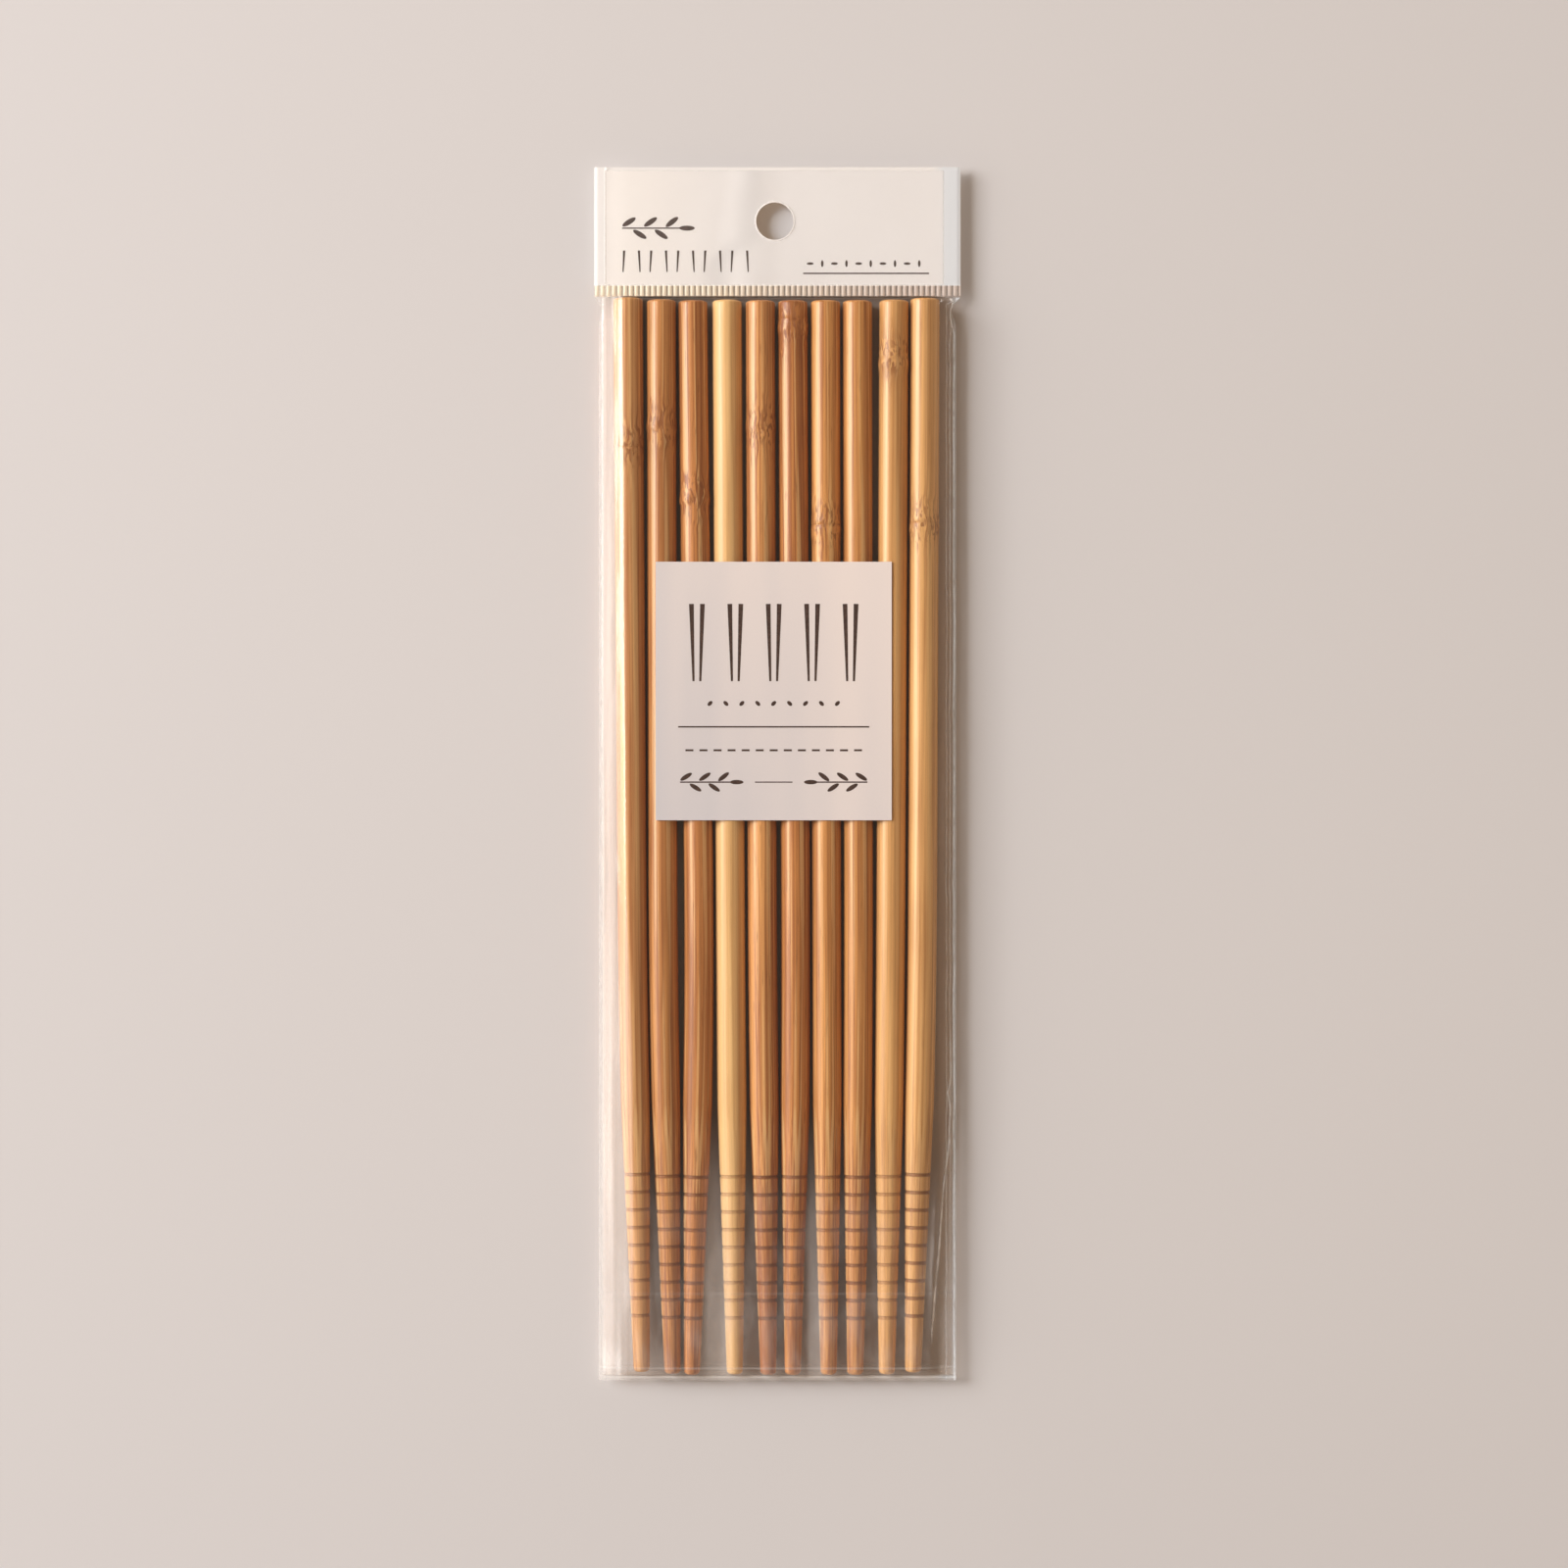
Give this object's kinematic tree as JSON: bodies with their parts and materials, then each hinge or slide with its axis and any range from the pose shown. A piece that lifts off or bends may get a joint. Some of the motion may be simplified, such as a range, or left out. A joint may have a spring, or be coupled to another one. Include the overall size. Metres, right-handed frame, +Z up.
{
  "type": "bamboo chopsticks in a hanging bag",
  "caption": "Round tapered bamboo chopsticks with ring-grooved ends, side by side in a flat clear film bag with a white hang-hole header and a square label.",
  "frame": {"origin": "on the surface that the pack lies on, under the middle of the pack's bounding box", "axes": "+Y along the pack, from the tips of the sticks to the header; +X across the pack, to the right as seen from the front; +Z up, out of the labelled front"},
  "size_m": [0.0786, 0.2602, 0.0068],
  "materials": {
    "bamboo": "smooth polished bamboo",
    "clear_film": "clear glossy film",
    "white_strip": "white plastic strip",
    "label_paper": "smooth coated paper"
  },
  "bodies": {
    "root": {"chopstick_01": "bamboo", "chopstick_02": "bamboo", "chopstick_03": "bamboo", "chopstick_04": "bamboo", "chopstick_05": "bamboo", "chopstick_06": "bamboo", "chopstick_07": "bamboo", "chopstick_08": "bamboo", "chopstick_09": "bamboo", "chopstick_10": "bamboo", "front_film": "clear_film", "back_film": "clear_film", "header_strip": "white_strip", "label": "label_paper"}
  },
  "joints": []
}
